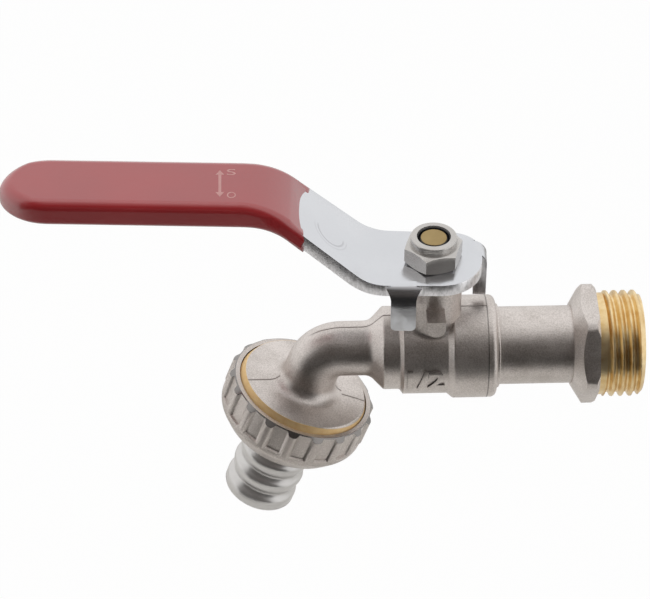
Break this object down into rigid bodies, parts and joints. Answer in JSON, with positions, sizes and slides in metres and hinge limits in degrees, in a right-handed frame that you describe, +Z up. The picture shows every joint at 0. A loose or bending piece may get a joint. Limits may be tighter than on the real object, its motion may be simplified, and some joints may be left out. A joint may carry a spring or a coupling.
{
  "type": "bib tap",
  "caption": "Quarter-turn bib tap: forged body with a bent spout, threaded inlet tail with a hexagon, cranked lever with a dipped grip, and a ribbed union nut holding a ridged hose tail.",
  "frame": {"origin": "on the inlet axis, at the hexagon face where the inlet thread starts", "axes": "+X along the inlet thread out of the tap, +Z up along the valve stem, +Y to the back, away from the stop lug"},
  "size_m": [0.1239, 0.0302, 0.0785],
  "materials": {
    "nickel_satin": "sand-blasted nickel plate",
    "nickel_bright": "turned nickel plate",
    "brass_turned": "bare turned brass",
    "zinc_steel": "bright zinc plate",
    "red_dip": "glossy dipped vinyl",
    "black_insert": "matte nylon",
    "ball_chrome": "polished",
    "seat_plastic": "white fluoropolymer",
    "seal_rubber": "matte"
  },
  "bodies": {
    "tap_body": {"body": "nickel_satin", "inlet_connector": "nickel_satin", "inlet_seat": "seat_plastic", "outlet_seat": "seat_plastic", "stem_thrust_washer": "seat_plastic"},
    "lever": {"lever": "zinc_steel", "lever_grip": "red_dip", "lock_nut": "zinc_steel", "lock_nut_insert": "black_insert", "stem": "brass_turned", "ball": "ball_chrome", "lower_stem_o_ring": "seal_rubber", "upper_stem_o_ring": "seal_rubber"},
    "hose_tail": {"hose_tail": "nickel_bright", "hose_washer": "seal_rubber"},
    "union_nut": {"union_nut": "nickel_satin"}
  },
  "joints": [
    {"name": "lever_turn", "type": "hinge", "parent": "tap_body", "child": "lever", "pos_m": [-0.0324, 0, 0], "axis": [0, 0, 1], "range_deg": [-86.7, 3.3]},
    {"name": "tail_slide", "type": "slide", "parent": "tap_body", "child": "hose_tail", "axis": [-0.3322, 0, -0.9432], "range_m": [0, 0.0055]},
    {"name": "union_turn", "type": "hinge", "parent": "hose_tail", "child": "union_nut", "pos_m": [-0.05743, 0, -0.01002], "axis": [-0.3322, 0, -0.9432], "range_deg": [0, 1080]}
  ],
  "couplings": [
    {"joint": "tail_slide", "follows": "union_turn", "m_per_rad": 0.00028871}
  ]
}
